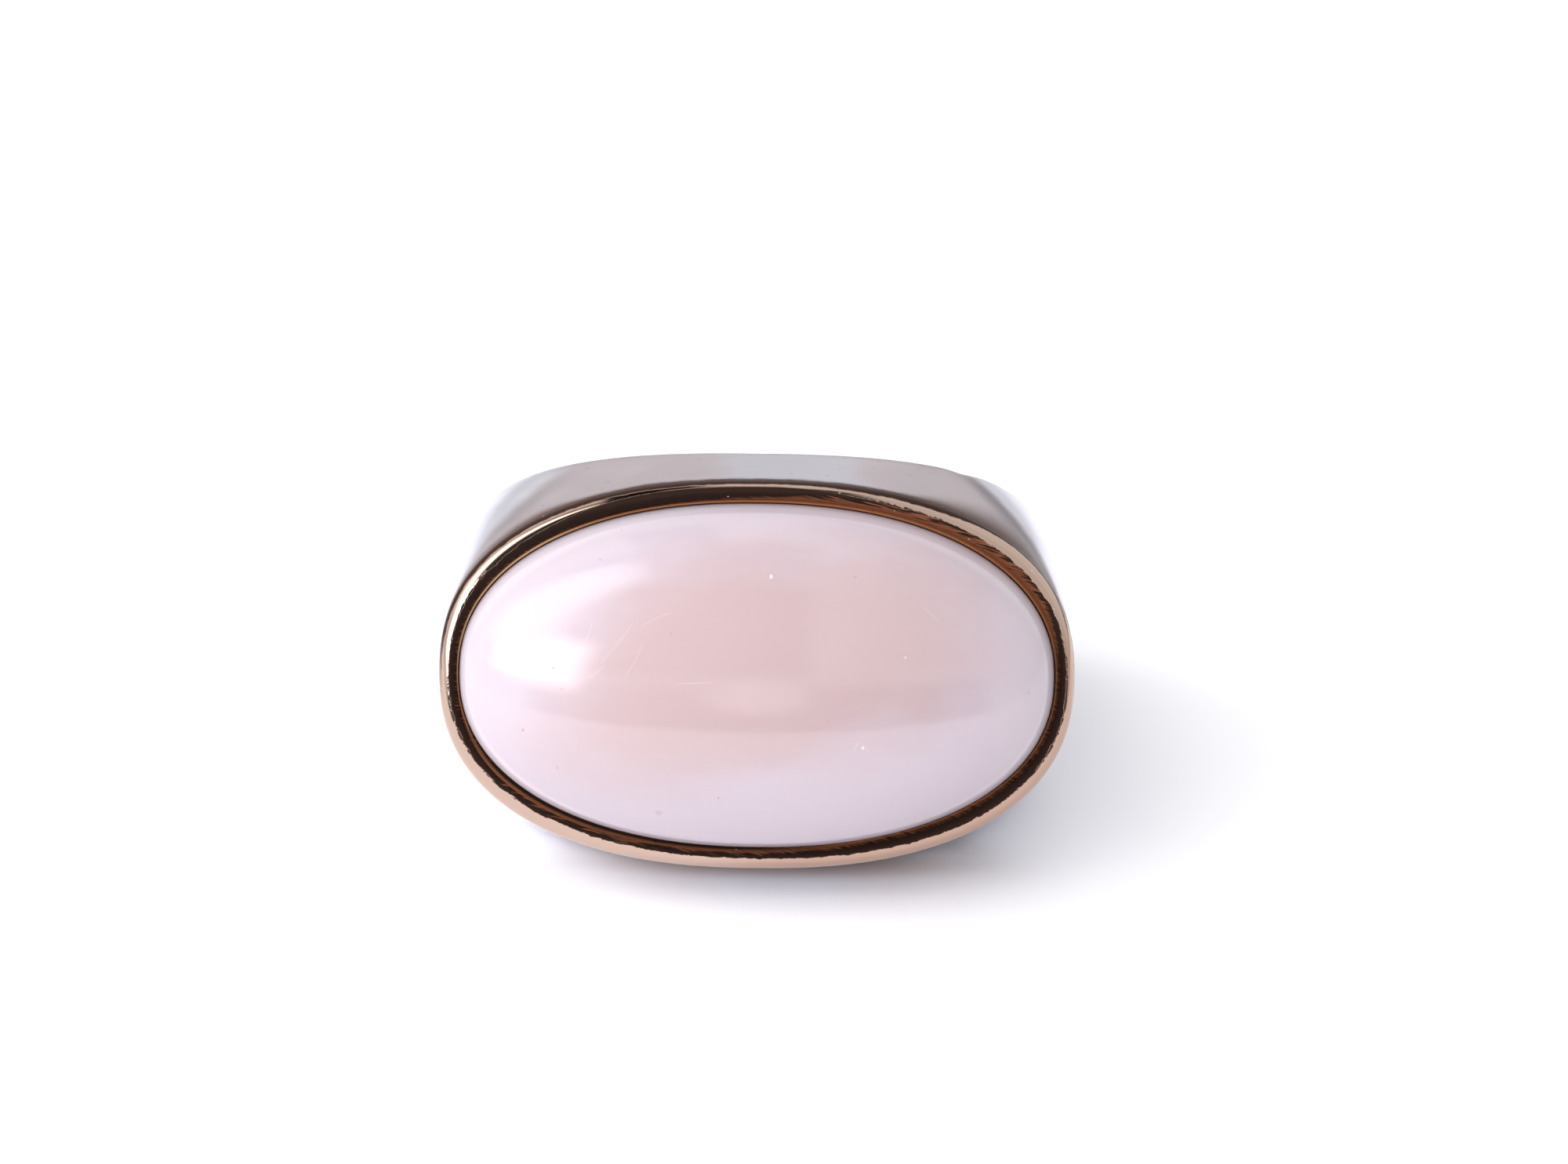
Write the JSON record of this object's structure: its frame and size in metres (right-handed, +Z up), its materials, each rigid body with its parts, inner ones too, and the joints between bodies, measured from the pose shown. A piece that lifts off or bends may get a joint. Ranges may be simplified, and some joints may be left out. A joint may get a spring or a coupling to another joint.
{
  "type": "coral cabochon finger ring",
  "caption": "Broad finger ring lying on its side: a white metal shank widening to an oval head, with a rose gold bezel around a polished pale pink coral cabochon.",
  "frame": {"origin": "the middle of the ring's length and width, on the surface that it lies on", "axes": "+Z up, with the ring lying on one side; the stone faces -Y and 16.6 degrees upwards; +X along the stone's long axis, to the right as seen from the stone's side"},
  "size_m": [0.0226, 0.0284, 0.0151],
  "materials": {
    "white_metal": "satin",
    "rose_gold": "polished",
    "coral": "polished"
  },
  "bodies": {
    "root": {"shank": "white_metal", "bezel": "rose_gold", "coral": "coral"}
  },
  "joints": []
}
